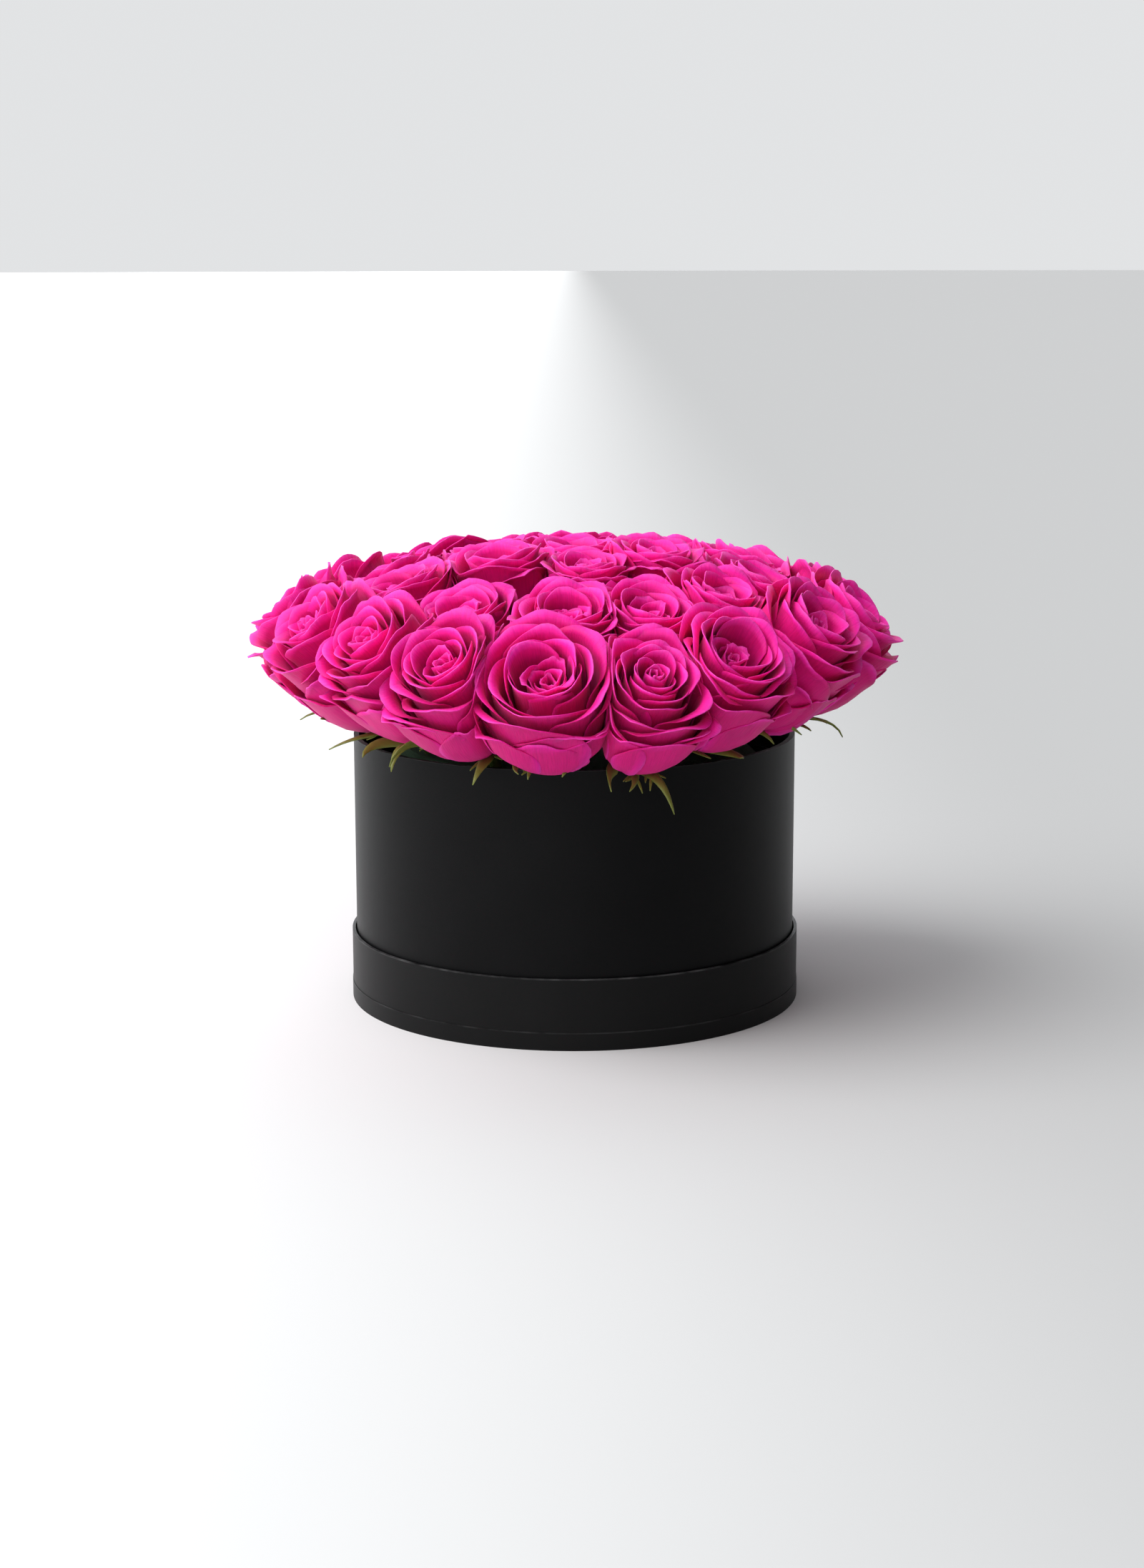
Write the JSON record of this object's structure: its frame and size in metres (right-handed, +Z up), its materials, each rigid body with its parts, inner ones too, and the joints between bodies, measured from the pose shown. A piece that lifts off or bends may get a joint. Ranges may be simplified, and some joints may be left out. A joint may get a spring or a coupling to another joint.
{
  "type": "flower box",
  "caption": "Round papered card box standing in its own lid, with a liner pot and foam block holding a low dome of cut roses.",
  "frame": {"origin": "centre of the underside of the lid, on the surface that the box stands on", "axes": "+Z up along the box's axis, -Y to the front of the arrangement, away from the paper seam"},
  "size_m": [0.322, 0.3153, 0.2317],
  "materials": {
    "cover_paper": "matte",
    "board": "matte",
    "lining_paper": "matte",
    "pot_plastic": "satin",
    "floral_foam": "matte",
    "petals": "matte",
    "sepal": "matte",
    "stem": "satin"
  },
  "bodies": {
    "lid": {"lid_board": "board", "lid_face_paper": "cover_paper", "lid_lining": "lining_paper", "lid_rim_band": "board", "lid_rim_wrap": "cover_paper"},
    "box": {"base_paper": "cover_paper", "floor_board": "board", "floor_lining": "lining_paper", "wall_board": "board", "wall_lining": "lining_paper", "wall_wrap": "cover_paper"},
    "insert": {"bloom_centre": "petals", "bloom_outer_01": "petals", "bloom_outer_02": "petals", "bloom_outer_03": "petals", "bloom_outer_04": "petals", "bloom_outer_05": "petals", "bloom_outer_06": "petals", "bloom_outer_07": "petals", "bloom_outer_08": "petals", "bloom_outer_09": "petals", "bloom_outer_10": "petals", "bloom_outer_11": "petals", "bloom_outer_12": "petals", "bloom_outer_13": "petals", "bloom_outer_14": "petals", "bloom_outer_15": "petals", "bloom_outer_16": "petals", "bloom_second_01": "petals", "bloom_second_02": "petals", "bloom_second_03": "petals", "bloom_second_04": "petals", "bloom_second_05": "petals", "bloom_second_06": "petals", "bloom_second_07": "petals", "bloom_second_08": "petals", "bloom_second_09": "petals", "bloom_second_10": "petals", "bloom_second_11": "petals", "bloom_second_12": "petals", "bloom_third_01": "petals", "bloom_third_02": "petals", "bloom_third_03": "petals", "bloom_third_04": "petals", "bloom_third_05": "petals", "bloom_third_06": "petals", "foam_block": "floral_foam", "liner_pot": "pot_plastic", "sepals_centre": "sepal", "sepals_outer": "sepal", "sepals_second": "sepal", "sepals_third": "sepal", "stems_centre": "stem", "stems_outer": "stem", "stems_second": "stem", "stems_third": "stem"}
  },
  "joints": [
    {"name": "box_lift", "type": "slide", "parent": "lid", "child": "box", "axis": [0, 0, 1], "range_m": [0, 0.045]},
    {"name": "insert_lift", "type": "slide", "parent": "box", "child": "insert", "axis": [0, 0, 1], "range_m": [0, 0.125]}
  ]
}
